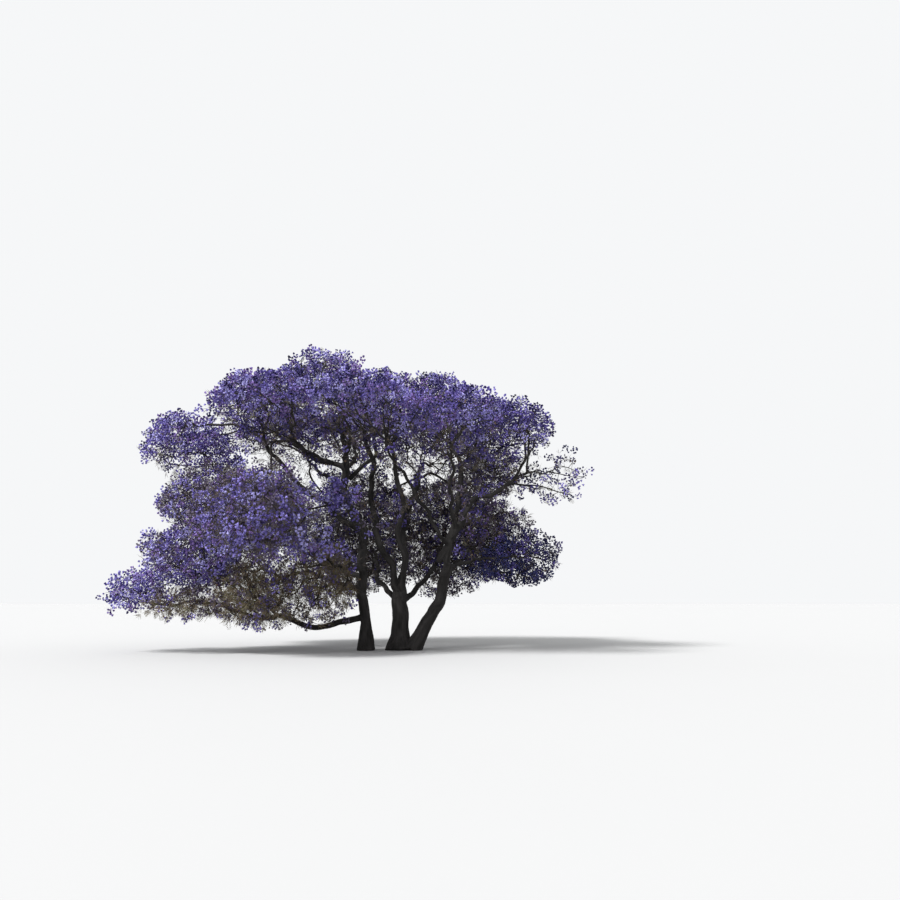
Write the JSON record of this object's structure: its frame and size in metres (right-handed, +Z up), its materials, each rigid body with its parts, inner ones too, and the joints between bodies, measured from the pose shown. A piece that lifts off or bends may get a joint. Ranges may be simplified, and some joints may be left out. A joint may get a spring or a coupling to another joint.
{
  "type": "jacaranda tree",
  "caption": "Wide, open-crowned jacaranda in full violet-blue blossom, with several dark leaning stems from one root and a low skirt of boughs on one side.",
  "frame": {"origin": "centre of the flat cut under the main trunk, at ground level", "axes": "+Z up; +X to the right across the crown's longest spread, as seen from the side that is shown; +Y away from that side"},
  "size_m": [19.5995, 15.3705, 12.5943],
  "materials": {
    "bark": "rough, dark grey-brown, finely fissured",
    "blossom": "violet-blue blossom in dense sprays",
    "thin_blossom": "sparser, duskier blossom over bare twigs"
  },
  "bodies": {
    "root": {"stem_left": "bark", "stem_right": "bark", "trunk": "bark", "bough_back_left": "bark", "bough_back_low": "bark", "bough_back_right": "bark", "bough_centre": "bark", "bough_centre_left": "bark", "bough_centre_right": "bark", "bough_front": "bark", "bough_front_left": "bark", "bough_high_back": "bark", "bough_high_back_left": "bark", "bough_high_front": "bark", "bough_high_front_left": "bark", "bough_high_left": "bark", "bough_high_right": "bark", "bough_high_top": "bark", "bough_left_high": "bark", "bough_left_low": "bark", "bough_left_mid": "bark", "bough_left_reach": "bark", "bough_right_arch": "bark", "bough_right_back": "bark", "bough_right_front": "bark", "bough_right_inner": "bark", "bough_right_low": "bark", "bough_right_reach": "bark", "bough_right_top_left": "bark", "bough_right_top_right": "bark", "bough_right_up": "bark", "mass_back_left": "blossom", "mass_back_low": "thin_blossom", "mass_back_right": "blossom", "mass_back_shoulder": "blossom", "mass_back_top": "blossom", "mass_back_top_left": "blossom", "mass_back_top_right": "blossom", "mass_far_right": "thin_blossom", "mass_front_cluster": "blossom", "mass_front_left": "blossom", "mass_front_spray": "blossom", "mass_front_top": "blossom", "mass_front_top_left": "blossom", "mass_front_top_right": "blossom", "mass_inner_low": "thin_blossom", "mass_left_hem": "thin_blossom", "mass_left_low": "blossom", "mass_left_mid": "blossom", "mass_left_tip": "blossom", "mass_left_under": "thin_blossom", "mass_right_low": "blossom", "mass_right_mid": "thin_blossom", "mass_shoulder_left": "blossom", "mass_shoulder_right": "blossom", "mass_top": "blossom", "mass_top_left": "blossom", "mass_top_middle": "blossom", "mass_top_right": "blossom"}
  },
  "joints": []
}
